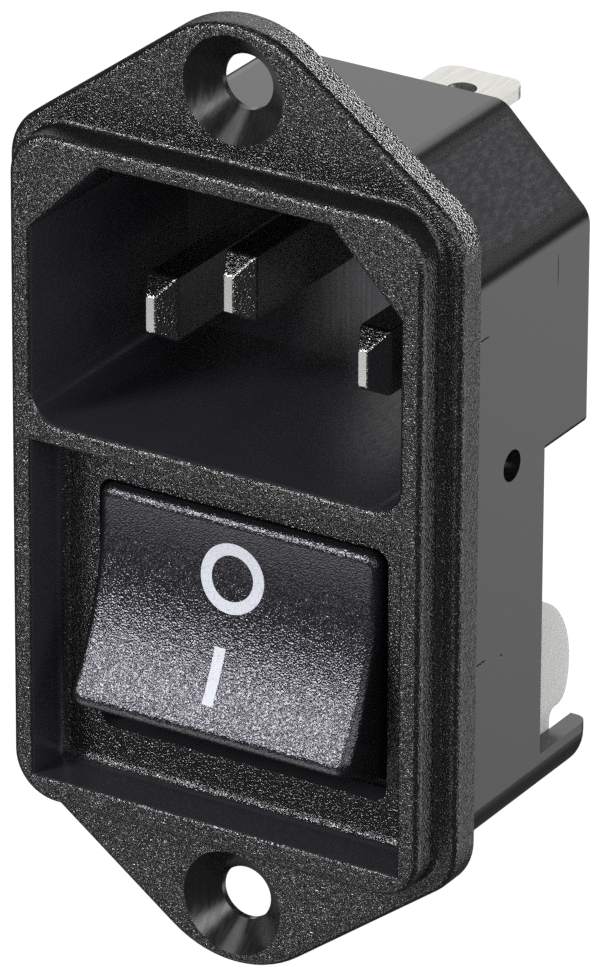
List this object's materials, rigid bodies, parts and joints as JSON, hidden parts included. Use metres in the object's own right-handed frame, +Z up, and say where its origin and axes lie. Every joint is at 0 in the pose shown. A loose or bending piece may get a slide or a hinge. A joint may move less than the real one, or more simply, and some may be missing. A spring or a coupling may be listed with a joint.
{
  "type": "iec appliance inlet",
  "caption": "Panel-mount mains inlet with a shrouded pin socket above a rocker switch, screw ears at each end and flat tabs behind.",
  "frame": {"origin": "on the flange's back face, midway between the two screw holes", "axes": "+X across the flange, +Y back through the panel, +Z up from the switch to the socket"},
  "size_m": [0.0296, 0.0306, 0.0582],
  "materials": {
    "black_moulding": "fine spark grain in front, satin behind",
    "black_rocker": "fine spark grain",
    "natural_nylon": "satin",
    "nickel_plate": "bright nickel",
    "tinned_brass": "satin tin",
    "spring_wire": "bright wire",
    "copper_strip": "bright copper",
    "silver_contact": "bright silver",
    "white_print": "flat ink"
  },
  "bodies": {
    "frame": {"housing": "black_moulding", "line_pin": "nickel_plate", "neutral_pin": "nickel_plate", "earth_pin": "nickel_plate", "line_tab": "tinned_brass", "neutral_tab": "tinned_brass", "earth_tab": "tinned_brass", "line_fixed_contact": "silver_contact", "neutral_fixed_contact": "silver_contact", "line_supply_terminal": "tinned_brass", "neutral_supply_terminal": "tinned_brass", "line_load_terminal": "tinned_brass", "neutral_load_terminal": "tinned_brass", "switch_base": "natural_nylon"},
    "rocker": {"rocker": "black_rocker", "line_spring": "spring_wire", "neutral_spring": "spring_wire"},
    "line_lever": {"line_contact_lever": "copper_strip", "line_moving_contact": "silver_contact"},
    "line_plunger": {"line_plunger": "black_rocker"},
    "neutral_lever": {"neutral_contact_lever": "copper_strip", "neutral_moving_contact": "silver_contact"},
    "neutral_plunger": {"neutral_plunger": "black_rocker"}
  },
  "joints": [
    {"name": "rocker_hinge", "type": "hinge", "parent": "frame", "child": "rocker", "pos_m": [0, 0.0022, -0.00885], "axis": [1, 0, 0], "range_deg": [0, 32.4]},
    {"name": "line_lever_hinge", "type": "hinge", "parent": "frame", "child": "line_lever", "pos_m": [0, 0.0085, -0.00885], "axis": [1, 0, 0], "range_deg": [-12, 0]},
    {"name": "line_plunger_slide", "type": "slide", "parent": "rocker", "child": "line_plunger", "axis": [0, -0.9603, 0.279], "range_m": [0, 0.0005], "stiffness_N_per_m": 500, "springref_m": -0.002, "deforming": ["line_spring"]},
    {"name": "neutral_lever_hinge", "type": "hinge", "parent": "frame", "child": "neutral_lever", "pos_m": [0, 0.0085, -0.00885], "axis": [1, 0, 0], "range_deg": [-12, 0]},
    {"name": "neutral_plunger_slide", "type": "slide", "parent": "rocker", "child": "neutral_plunger", "axis": [0, -0.9603, 0.279], "range_m": [0, 0.0005], "stiffness_N_per_m": 500, "springref_m": -0.002, "deforming": ["neutral_spring"]}
  ],
  "couplings": [
    {"joint": "line_lever_hinge", "follows": "rocker_hinge", "ratio": -0.37},
    {"joint": "neutral_lever_hinge", "follows": "rocker_hinge", "ratio": -0.37}
  ]
}
